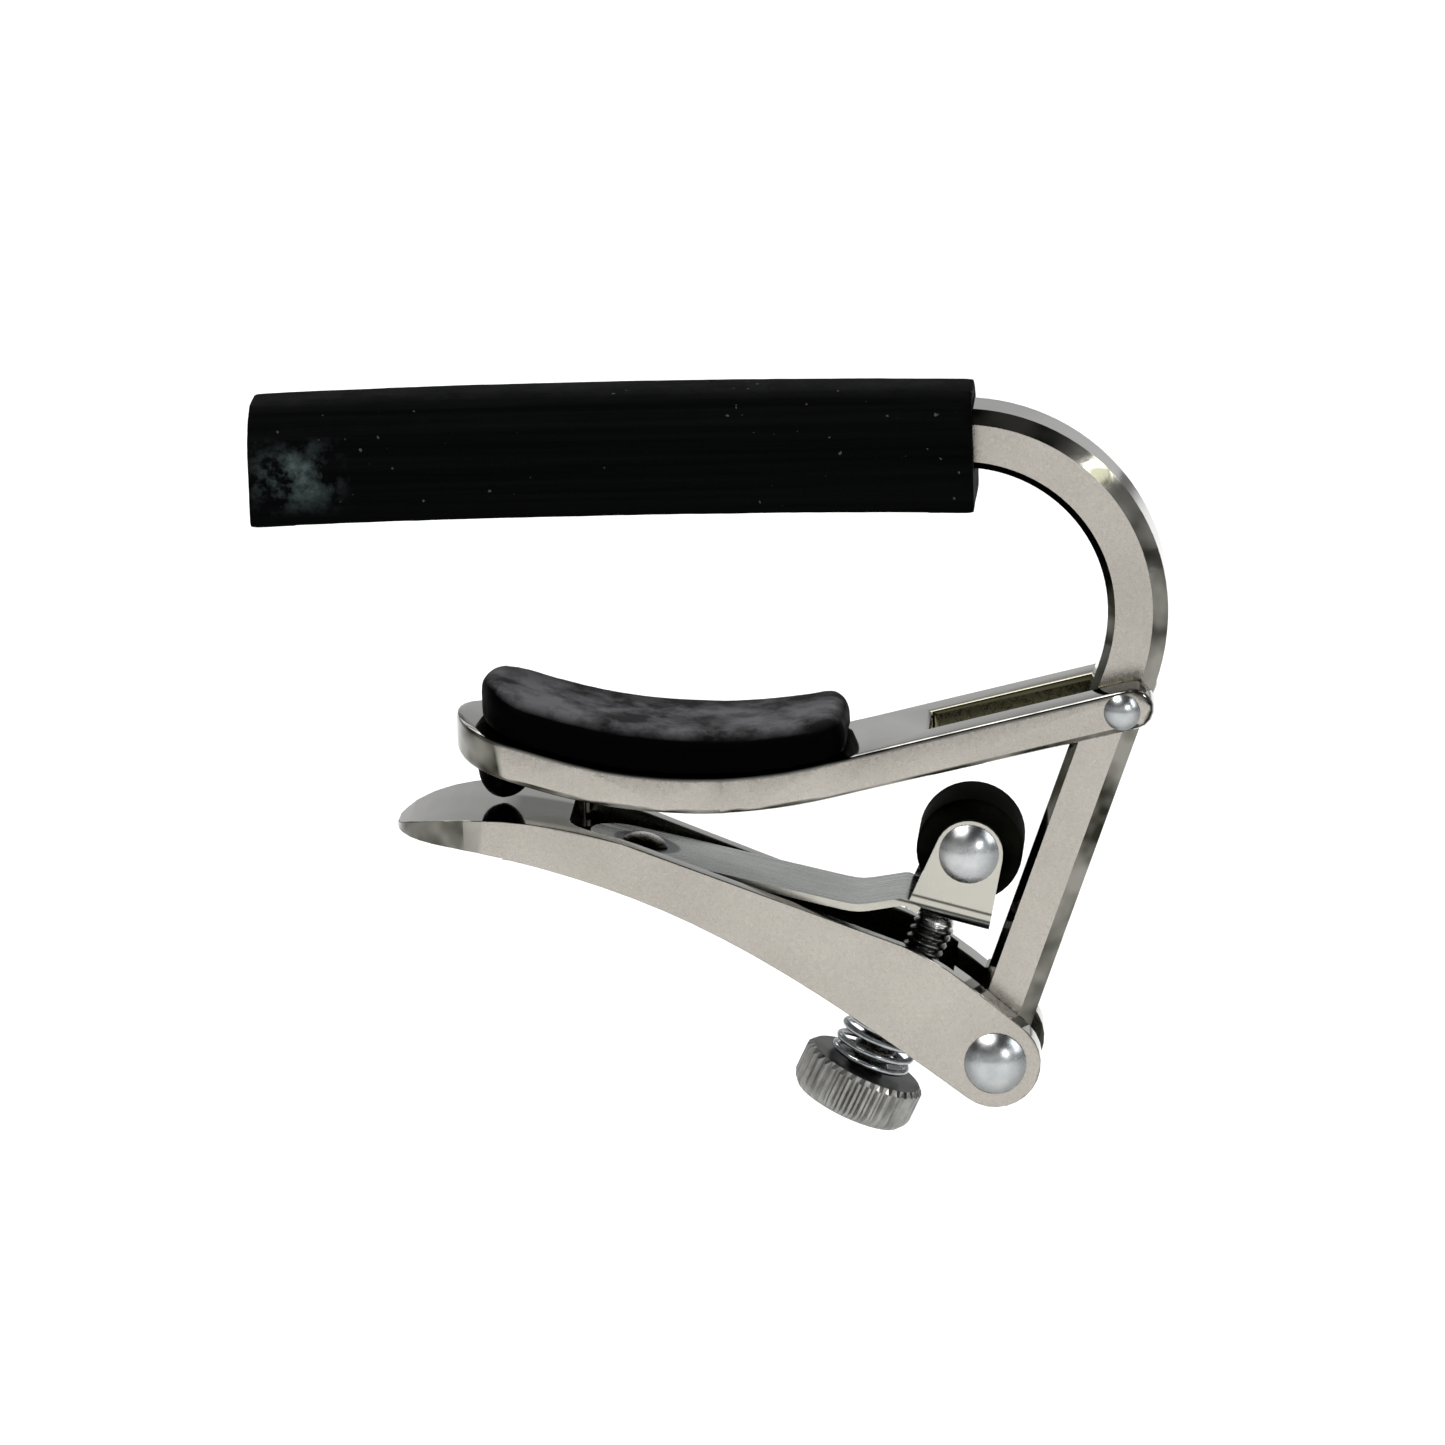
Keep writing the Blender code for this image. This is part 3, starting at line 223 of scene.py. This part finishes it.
class Paint:
    """A node material under construction."""

    def __init__(self, name):
        self.made = bpy.data.materials.new(name)
        self.made.use_nodes = True
        self.tree = self.made.node_tree
        self.shader = self.tree.nodes["Principled BSDF"]
        self.coordinates = self.node("ShaderNodeTexCoord").outputs["Object"]

    def node(self, kind, **settings):
        made = self.tree.nodes.new(kind)
        for key, value in settings.items():
            setattr(made, key, value)
        return made

    def link(self, source, target):
        self.tree.links.new(source, target)

    def put(self, target, value):
        """Set a socket to a number or colour, or link it to another socket."""
        if isinstance(value, bpy.types.NodeSocket):
            self.link(value, target)
        else:
            target.default_value = value

    def stretched(self, scale):
        """The piece's own coordinates, scaled differently along X, Y and Z."""
        mapping = self.node("ShaderNodeMapping")
        self.link(self.coordinates, mapping.inputs["Vector"])
        mapping.inputs["Scale"].default_value = scale
        return mapping.outputs["Vector"]

    def noise(self, scale, detail, roughness, vector=None):
        made = self.node("ShaderNodeTexNoise")
        self.link(vector or self.coordinates, made.inputs["Vector"])
        made.inputs["Scale"].default_value = scale
        made.inputs["Detail"].default_value = detail
        made.inputs["Roughness"].default_value = roughness
        return made.outputs["Fac"]

    def ramp(self, value, stops):
        """Colours, or greys, between positions along a value."""
        made = self.node("ShaderNodeValToRGB")
        self.link(value, made.inputs["Fac"])
        elements = made.color_ramp.elements
        while len(elements) < len(stops):
            elements.new(0.5)
        for element, (position, colour) in zip(elements, stops):
            element.position = position
            grey = isinstance(colour, (int, float))
            element.color = (colour, colour, colour, 1) if grey else (*colour, 1)
        return made.outputs["Color"]

    def maths(self, operation, first, second=0.0):
        made = self.node("ShaderNodeMath", operation=operation)
        self.put(made.inputs[0], first)
        self.put(made.inputs[1], second)
        return made.outputs[0]

    def mix(self, share, first, second, blend="MIX"):
        made = self.node("ShaderNodeMix", data_type="RGBA", blend_type=blend)
        self.put(made.inputs["Factor"], share)
        colours = [socket for socket in made.inputs if socket.type == "RGBA"]
        for socket, value in zip(colours, (first, second)):
            self.put(socket, value if isinstance(value, bpy.types.NodeSocket) else (*value, 1))
        return [socket for socket in made.outputs if socket.type == "RGBA"][0]

    def bump(self, height, distance, strength, under=None):
        """Relief from a height; under is the relief that it lies on."""
        made = self.node("ShaderNodeBump")
        self.link(height, made.inputs["Height"])
        made.inputs["Distance"].default_value = distance
        made.inputs["Strength"].default_value = strength
        if under:
            self.link(under, made.inputs["Normal"])
        return made.outputs["Normal"]

    def facing(self, direction):
        """How far a surface faces along a direction of its own piece, from -1 to 1."""
        normal = self.node("ShaderNodeTexCoord").outputs["Normal"]
        return self.along(normal, direction)

    def along(self, vector, direction):
        """The share of a vector that points along a direction."""
        dot = self.node("ShaderNodeVectorMath", operation="DOT_PRODUCT")
        self.link(vector, dot.inputs[0])
        dot.inputs[1].default_value = direction
        return dot.outputs["Value"]

    def sideways(self):
        """How far a surface faces to either side of the capo, from 0 to 1."""
        return self.maths("ABSOLUTE", self.facing((0, 1, 0)))

    def place(self, axis):
        """Distance from the origin along X, Y or Z, in millimetres."""
        split = self.node("ShaderNodeSeparateXYZ")
        self.link(self.coordinates, split.inputs[0])
        return self.maths("MULTIPLY", split.outputs[axis], 1 / MM)

    def between(self, value, low, high, soft):
        """One inside a range of a value, nothing outside it, with soft ends."""
        middle = (low + high) / 2
        off = self.maths("ABSOLUTE", self.maths("SUBTRACT", value, middle))
        past = self.maths("SUBTRACT", off, (high - low) / 2 - soft)
        share = self.maths("DIVIDE", past, soft)
        clamped = self.node("ShaderNodeClamp")
        self.link(share, clamped.inputs["Value"])
        return self.maths("SUBTRACT", 1.0, clamped.outputs[0])

    def patch(self, first_axis, first_range, second_axis, second_range):
        """One where a point lies inside two ranges, each along an axis."""
        return self.maths("MULTIPLY", self.between(self.place(first_axis), *first_range),
                          self.between(self.place(second_axis), *second_range))

    def finish(self, colour, roughness, metallic, normal):
        self.put(self.shader.inputs["Base Color"], colour)
        self.put(self.shader.inputs["Roughness"], roughness)
        self.shader.inputs["Metallic"].default_value = metallic
        self.link(normal, self.shader.inputs["Normal"])
        return self.made


# =================================== metals ===================================

def polished_nickel(name, dim_places=None, shade=None):
    """Satin flats on both sides, polished tops, and broken edges whose dark, streaky colour is a
    painted reflection.

    dim_places gives a mask of the faces that see little light, and shade is the painted shade colour
    put on them."""
    paint = Paint(name)
    haze = paint.noise(90, 4, 0.55)
    grain = paint.noise(2600, 3, 0.6)
    side = paint.sideways()
    flat = paint.ramp(side, [(0.960, 0.0), (0.995, 1.0)])
    edge = paint.ramp(side, [(0.06, 0.0), (0.20, 1.0), (0.955, 1.0), (0.992, 0.0)])
    satin = paint.ramp(haze, [(0.3, (0.325, 0.306, 0.276)), (0.7, (0.39, 0.37, 0.336))])
    speck = paint.ramp(grain, [(0.34, 0.90), (0.56, 1.0)])
    polish = paint.ramp(haze, [(0.3, (0.27, 0.265, 0.24)), (0.7, (0.35, 0.345, 0.32))])
    face = paint.mix(flat, polish, paint.mix(1.0, satin, speck, "MULTIPLY"))
    # Painted reflection: the broken edges get a dark streaky colour that stands for mirrored
    # darkness.
    streak = paint.noise(260, 2, 0.5)
    painted_edge_reflection = paint.ramp(streak, [(0.38, (0.018, 0.018, 0.013)), (0.66, (0.20, 0.195, 0.175))])
    colour = paint.mix(edge, face, painted_edge_reflection)
    # Painted shade on the faces that dim_places marks.
    if dim_places:
        colour = paint.mix(dim_places(paint), colour, shade)
    brushed = paint.ramp(grain, [(0.30, 0.22), (0.70, 0.34)])
    rough = paint.mix(flat, (0.08, 0.08, 0.08), brushed)
    wave = paint.bump(paint.noise(160, 1, 0.4), 0.00005, 0.35)
    return paint.finish(colour, rough, 1.0, paint.bump(grain, 0.000005, 0.4, wave))


def facing_inward(paint):
    """The walls of a slot or trough, which look at each other across the middle."""
    inward = paint.maths("MULTIPLY", paint.place("Y"), paint.facing((0, 1, 0)))
    return paint.maths("LESS_THAN", inward, -0.5)


def dim_on_arm(paint):
    """Painted shade on the arm's slot and its underside, which only see the lever."""
    below = paint.ramp(paint.facing((0, 0, -1)), [(0.75, 0.0), (0.95, 0.8)])
    return paint.maths("MAXIMUM", facing_inward(paint), below)


def dim_on_lever(paint):
    """Painted shade in the lever's trough, and a painted dark reflection of the pad's plug on the
    top before it.
    """
    floor = paint.patch("X", TROUGH_X, "Y", TROUGH_Y)
    painted_plug_reflection = paint.patch("X", PLUG_REFLECTION_X, "Y", PLUG_REFLECTION_Y)
    upward = paint.ramp(paint.facing((0, 0, 1)), [(0.2, 0.0), (0.5, 1.0)])
    # Painted shade on the trough's floor and the painted plug reflection, on faces that look up.
    top = paint.maths("MULTIPLY", paint.maths("MAXIMUM", floor, painted_plug_reflection), upward)
    return paint.maths("MAXIMUM", facing_inward(paint), top)


def rivet_nickel():
    """Domed heads that darken towards their rims as painted shade, with a few light hammer marks."""
    paint = Paint("rivet_nickel")
    haze = paint.noise(400, 3, 0.6)
    tint = paint.ramp(haze, [(0.3, (0.34, 0.36, 0.37)), (0.7, (0.50, 0.51, 0.51))])
    # Painted shade: the colour darkens as the dome turns away from the side.
    rim = paint.ramp(paint.sideways(), [(0.45, 0.12), (0.80, 0.55), (0.97, 1.0)])
    rough = paint.ramp(haze, [(0.3, 0.20), (0.7, 0.34)])
    hammer = paint.bump(paint.noise(620, 2, 0.5), 0.00006, 0.7)
    return paint.finish(paint.mix(1.0, tint, rim, "MULTIPLY"), rough, 1.0, hammer)


def seat_rivet():
    """The small rivet in the trough, dark, with a painted highlight at the top of its dome."""
    paint = Paint("seat_rivet")
    haze = paint.noise(700, 3, 0.6)
    # Painted highlight: bright only where the dome faces up, dark elsewhere.
    crown = paint.ramp(paint.facing((0.27, 0, 0.96)), [(0.88, 0.02), (0.985, 0.65)])
    rough = paint.ramp(haze, [(0.3, 0.14), (0.7, 0.30)])
    return paint.finish(crown, rough, 1.0, paint.bump(haze, 0.00002, 0.5))


def stamped_strip():
    """Brushed spring steel with painted light: painted shade on the folds, a painted lighter tone on
    the ears, dark lines of painted shade in two creases, and a ring of painted shade at its rivet.
    """
    paint = Paint("stamped_strip")
    brushed = paint.noise(1.0, 3, 0.6, paint.stretched((160, 6000, 160)))
    haze = paint.noise(150, 3, 0.5)
    tint = paint.ramp(paint.maths("ADD", paint.maths("MULTIPLY", brushed, 0.5),
                                  paint.maths("MULTIPLY", haze, 0.5)),
                      [(0.3, (0.20, 0.215, 0.205)), (0.7, (0.33, 0.34, 0.325))])
    side = paint.sideways()
    # Painted shade on the folds, and a painted lighter tone on the ears that face sideways.
    fold = paint.ramp(side, [(0.25, 1.0), (0.45, 0.22), (0.85, 0.22), (0.97, 1.0)])
    ears = paint.ramp(side, [(0.955, 0.0), (0.985, 1.0)])
    plain = paint.mix(ears, paint.mix(1.0, tint, fold, "MULTIPLY"), (0.40, 0.39, 0.35))
    # Painted shade: two dark lines in the creases across the clevis foot.
    height = paint.maths("ADD", paint.maths("MULTIPLY", paint.place("X"), FOOT_UP[0]),
                         paint.maths("MULTIPLY", paint.place("Z"), FOOT_UP[1]))
    creases = paint.maths("ADD", *(paint.between(height, *crease) for crease in FOOT_CREASES))
    outside = paint.ramp(side, [(0.40, 0.0), (0.55, 1.0)])
    creased = paint.mix(paint.maths("MULTIPLY", creases, outside), plain, (0.06, 0.06, 0.05))
    # Painted shade: a dark ring round the strip's rivet.
    off_x = paint.maths("SUBTRACT", paint.place("X"), STRIP_RIVET_X)
    off_rivet = paint.maths("SQRT", paint.maths("ADD", paint.maths("POWER", off_x, 2.0),
                                                paint.maths("POWER", paint.place("Y"), 2.0)))
    ring = paint.between(off_rivet, *STRIP_RIVET_RING)
    colour = paint.mix(ring, creased, (0.025, 0.028, 0.028))
    rough = paint.ramp(brushed, [(0.3, 0.20), (0.7, 0.34)])
    return paint.finish(colour, rough, 1.0, paint.bump(brushed, 0.000006, 0.6))


def knurled_metal():
    """Ribs in a mottled metal tone; the flat face and the rim above them are darkened as painted
    shade.
    """
    paint = Paint("knurled_metal")
    haze = paint.noise(500, 4, 0.6)
    tint = paint.ramp(haze, [(0.3, (0.13, 0.13, 0.125)), (0.7, (0.31, 0.31, 0.295))])
    # Painted shade: faces that look along the screw are darkened.
    top = paint.ramp(paint.facing(SCREW_AXIS), [(0.35, 1.0), (0.75, 0.22)])
    rough = paint.ramp(haze, [(0.3, 0.28), (0.7, 0.46)])
    normal = paint.bump(paint.noise(1800, 3, 0.6), 0.00002, 0.6)
    return paint.finish(paint.mix(1.0, tint, top, "MULTIPLY"), rough, 1.0, normal)


def wire_steel():
    """Bright drawn wire."""
    paint = Paint("wire_steel")
    haze = paint.noise(900, 3, 0.6)
    colour = paint.ramp(haze, [(0.3, (0.20, 0.22, 0.235)), (0.7, (0.37, 0.385, 0.40))])
    rough = paint.ramp(haze, [(0.3, 0.14), (0.7, 0.28)])
    return paint.finish(colour, rough, 1.0, paint.bump(haze, 0.000008, 0.5))


def thread_steel(screw_end):
    """Dark oily thread with a painted highlight at its end; screw_end is its distance from the
    knob's middle.
    """
    paint = Paint("thread_steel")
    haze = paint.noise(700, 3, 0.6)
    oily = paint.ramp(haze, [(0.3, (0.045, 0.047, 0.045)), (0.7, (0.16, 0.16, 0.15))])
    offset = paint.node("ShaderNodeVectorMath", operation="SUBTRACT")
    paint.link(paint.coordinates, offset.inputs[0])
    offset.inputs[1].default_value = KNOB_CENTRE
    height = paint.along(offset.outputs["Vector"], SCREW_AXIS)
    # Painted highlight: a bright band of colour round the screw's domed end.
    before, after, soft = THREAD_GLINT
    bright = paint.between(paint.maths("MULTIPLY", height, 1 / MM),
                           screw_end / MM + before, screw_end / MM + after, soft)
    colour = paint.mix(bright, oily, (0.62, 0.62, 0.61))
    rough = paint.ramp(haze, [(0.3, 0.18), (0.7, 0.36)])
    return paint.finish(colour, rough, 1.0, paint.bump(haze, 0.00001, 0.5))


# =================================== rubber and plastic ===================================

def sleeve_rubber():
    """Extruded rubber, nearly black, with one dusty patch near its free end."""
    paint = Paint("sleeve_rubber")
    grain = paint.noise(2200, 3, 0.65)
    lines = paint.noise(1.0, 3, 0.6, paint.stretched((25, 1800, 1800)))
    dust = paint.noise(260, 5, 0.7)
    cloud = paint.ramp(dust, [(0.46, 0.0), (0.72, 1.0)])
    dusty = paint.maths("MULTIPLY", paint.patch("X", DUST_X, "Z", DUST_Z), cloud)
    flecks = paint.ramp(paint.noise(1500, 1, 0.5), [(0.76, 0.0), (0.80, 1.0)])
    black = paint.ramp(lines, [(0.3, (0.0006, 0.0007, 0.0008)), (0.7, (0.0016, 0.0017, 0.0018))])
    base = paint.mix(dusty, black, (0.055, 0.075, 0.075))
    colour = paint.mix(paint.maths("MULTIPLY", flecks, 0.35), base, (0.09, 0.10, 0.11))
    rough = paint.ramp(dust, [(0.3, 0.50), (0.7, 0.68)])
    paint.shader.inputs["Specular IOR Level"].default_value = 0.006
    relief = paint.bump(grain, 0.00003, 0.5, paint.bump(lines, 0.00003, 0.5))
    return paint.finish(colour, rough, 0.0, relief)


def pad_rubber():
    """Moulded rubber: black sides, and a mottled grey on the faces that face up."""
    paint = Paint("pad_rubber")
    grain = paint.noise(2600, 3, 0.65)
    mottle = paint.noise(210, 5, 0.65)
    top = paint.ramp(paint.facing((0, 0, 1)), [(0.55, 0.0), (0.97, 1.0)])
    upper_grey = paint.ramp(mottle, [(0.40, (0.008, 0.008, 0.0085)), (0.62, (0.075, 0.075, 0.080))])
    colour = paint.mix(top, (0.0003, 0.0003, 0.00035), upper_grey)
    rough = paint.ramp(mottle, [(0.3, 0.42), (0.7, 0.62)])
    paint.shader.inputs["Specular IOR Level"].default_value = 0.006
    return paint.finish(colour, rough, 0.0, paint.bump(grain, 0.00003, 0.5))


def roller_plastic():
    """Black plastic with scuffs and fine turning marks."""
    paint = Paint("roller_plastic")
    scuff = paint.noise(260, 4, 0.6)
    turned = paint.noise(1.0, 3, 0.6, paint.stretched((60, 2500, 60)))
    colour = paint.ramp(scuff, [(0.40, (0.0004, 0.0005, 0.0003)), (0.75, (0.004, 0.0042, 0.003))])
    rough = paint.ramp(scuff, [(0.3, 0.55), (0.7, 0.75)])
    paint.shader.inputs["Specular IOR Level"].default_value = 0.004
    return paint.finish(colour, rough, 0.0, paint.bump(turned, 0.00003, 0.5))


# =================================== pieces ===================================

def smooth_cad(node, finish, angle):
    """Give a CAD node its finish and smooth normals, with its edges kept crisp."""
    mesh = node.data
    for attribute in ("custom_normal", "sharp_face", "sharp_edge"):
        if attribute in mesh.attributes:
            mesh.attributes.remove(mesh.attributes[attribute])
    mesh.shade_smooth()
    mesh.materials.clear()
    mesh.materials.append(finish)
    weld = node.modifiers.new("weld", "WELD")
    weld.merge_threshold = SAME_POINT
    split = node.modifiers.new("edges", "EDGE_SPLIT")
    split.split_angle = math.radians(angle)
    even = node.modifiers.new("normals", "WEIGHTED_NORMAL")
    even.weight = 100
    even.mode = "FACE_AREA"


def new_object(name, build, finish, edge_angle):
    mesh = bpy.data.meshes.new(name)
    bmesh.ops.recalc_face_normals(build, faces=build.faces)
    build.to_mesh(mesh)
    build.free()
    mesh.shade_smooth()
    mesh.set_sharp_from_angle(angle=math.radians(edge_angle))
    mesh.materials.append(finish)
    made = bpy.data.objects.new(name, mesh)
    bpy.context.scene.collection.objects.link(made)
    return made


def skin_rings(rings):
    """Skin a row of closed rings with the same number of points, and cap both ends."""
    build = bmesh.new()
    loops = [[build.verts.new(point) for point in ring] for ring in rings]
    count = len(loops[0])
    for near, far in zip(loops, loops[1:]):
        for index in range(count):
            following = (index + 1) % count
            build.faces.new((near[index], near[following], far[following], far[index]))
    build.faces.new(loops[0])
    build.faces.new(list(reversed(loops[-1])))
    return build


def span_on_screw(node):
    """How far a node reaches along the screw, measured from the middle of the knob."""
    heights = [(vertex.co - KNOB_CENTRE).dot(SCREW_AXIS) for vertex in node.data.vertices]
    return min(heights), max(heights)


def screw_frame():
    """From coordinates with Z along the screw, from the knob's middle, to the row frame."""
    return Matrix.Translation(KNOB_CENTRE) @ SCREW_AXIS.to_track_quat("Z", "Y").to_matrix().to_4x4()


def thread_radius(height, turn):
    """Distance of the thread's surface from the axis: sloping flanks and narrow crests."""
    phase = (height / THREAD_PITCH - turn) % 1.0
    flank = min(1.0, THREAD_FLANK * (1 - abs(2 * phase - 1)))
    return THREAD_CORE + (THREAD_CREST - THREAD_CORE) * flank


def make_thread(node, finish):
    """The adjusting screw with its thread and domed tip."""
    low, high = span_on_screw(node)
    place = screw_frame()
    rows = round((high - low) / THREAD_PITCH * THREAD_ROWS)
    rings = []
    for row in range(rows + 1):
        height = low + (high - low) * row / rows
        into_tip = max(0.0, (height - high + THREAD_TIP) / THREAD_TIP)
        limit = THREAD_CREST * math.sqrt(max(0.0, 1 - into_tip ** 2)) + THREAD_TIP_FLAT
        ring = []
        for side in range(THREAD_SIDES):
            turn = side / THREAD_SIDES
            radius = min(thread_radius(height, turn), limit)
            angle = 2 * math.pi * turn
            ring.append(place @ Vector((radius * math.cos(angle), radius * math.sin(angle), height)))
        rings.append(ring)
    thread = new_object("threaded_screw", skin_rings(rings), finish, SWEPT_EDGE_ANGLE)
    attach(thread, "screw")
    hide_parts("adjusting_screw")


def make_coil(node, finish):
    """The screw's spring in round wire, with its end coils lying flat."""
    low, high = span_on_screw(node)
    low += COIL_WIRE
    high -= COIL_WIRE
    place = screw_frame()
    steps = round(COIL_TURNS * COIL_STEPS)
    rings = []
    for step in range(steps + 1):
        share = step / steps
        angle = 2 * math.pi * COIL_TURNS * share
        ease = share - COIL_CLOSING * math.sin(2 * math.pi * share)
        height = low + (high - low) * ease
        outward = Vector((math.cos(angle), math.sin(angle), 0))
        ring = []
        for side in range(COIL_SIDES):
            around = 2 * math.pi * side / COIL_SIDES
            reach = COIL_RADIUS + COIL_WIRE * math.cos(around)
            rise = Vector((0, 0, height + COIL_WIRE * math.sin(around)))
            ring.append(place @ (outward * reach + rise))
        rings.append(ring)
    coil = new_object("coil_spring", skin_rings(rings), finish, SWEPT_EDGE_ANGLE)
    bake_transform(coil)
    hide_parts("screw_spring")


def moulded(node, name, body, finish, unevenness):
    """A soft piece: the CAD solid with rounded edges and a slightly uneven skin."""
    build = bmesh.new()
    build.from_mesh(node.data)
    bmesh.ops.remove_doubles(build, verts=build.verts, dist=SAME_POINT)
    piece = new_object(name, build, finish, MOULDED_EDGE_ANGLE)
    remesh = piece.modifiers.new("skin", "REMESH")
    remesh.mode = "VOXEL"
    remesh.voxel_size = RUBBER_GRID
    remesh.use_smooth_shade = True
    smooth = piece.modifiers.new("soft_edges", "SMOOTH")
    smooth.factor, smooth.iterations = RUBBER_SOFTENING
    texture = bpy.data.textures.new(name, "CLOUDS")
    texture.noise_scale = RUBBER_LUMPS
    uneven = piece.modifiers.new("uneven", "DISPLACE")
    uneven.texture = texture
    uneven.mid_level = RUBBER_MID_LEVEL
    uneven.strength = unevenness
    graph = bpy.context.evaluated_depsgraph_get()
    mesh = bpy.data.meshes.new_from_object(piece.evaluated_get(graph), depsgraph=graph)
    piece.modifiers.clear()
    piece.data = mesh
    mesh.shade_smooth()
    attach(piece, body)
    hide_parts(node.name)
    return piece


def main():
    make_camera()
    make_floor()
    make_lights()
    make_world()
    nodes = frame["nodes"]
    rivet = rivet_nickel()
    looks = {
        "string_bar": polished_nickel("polished_nickel"),
        "neck_arm": polished_nickel("arm_nickel", dim_on_arm, ARM_SHADE),
        "lock_lever": polished_nickel("lever_nickel", dim_on_lever, TROUGH_SHADE),
        "arm_rivet": rivet, "lever_rivet": rivet, "roller_rivet": rivet,
        "carrier_rivet": seat_rivet(), "roller_carrier": stamped_strip(),
        "thumb_knob": knurled_metal(), "roller": roller_plastic()}
    for name, finish in looks.items():
        smooth_cad(nodes[name], finish, CRISPER_EDGES.get(name, EDGE_ANGLE))
    screw = nodes["adjusting_screw"]
    make_thread(screw, thread_steel(span_on_screw(screw)[1]))
    make_coil(nodes["screw_spring"], wire_steel())
    moulded(nodes["string_sleeve"], "rubber_sleeve", "bar", sleeve_rubber(),
            SLEEVE_UNEVENNESS)
    pad = moulded(nodes["neck_pad"], "moulded_pad", "arm", pad_rubber(),
                  PAD_UNEVENNESS)


main()
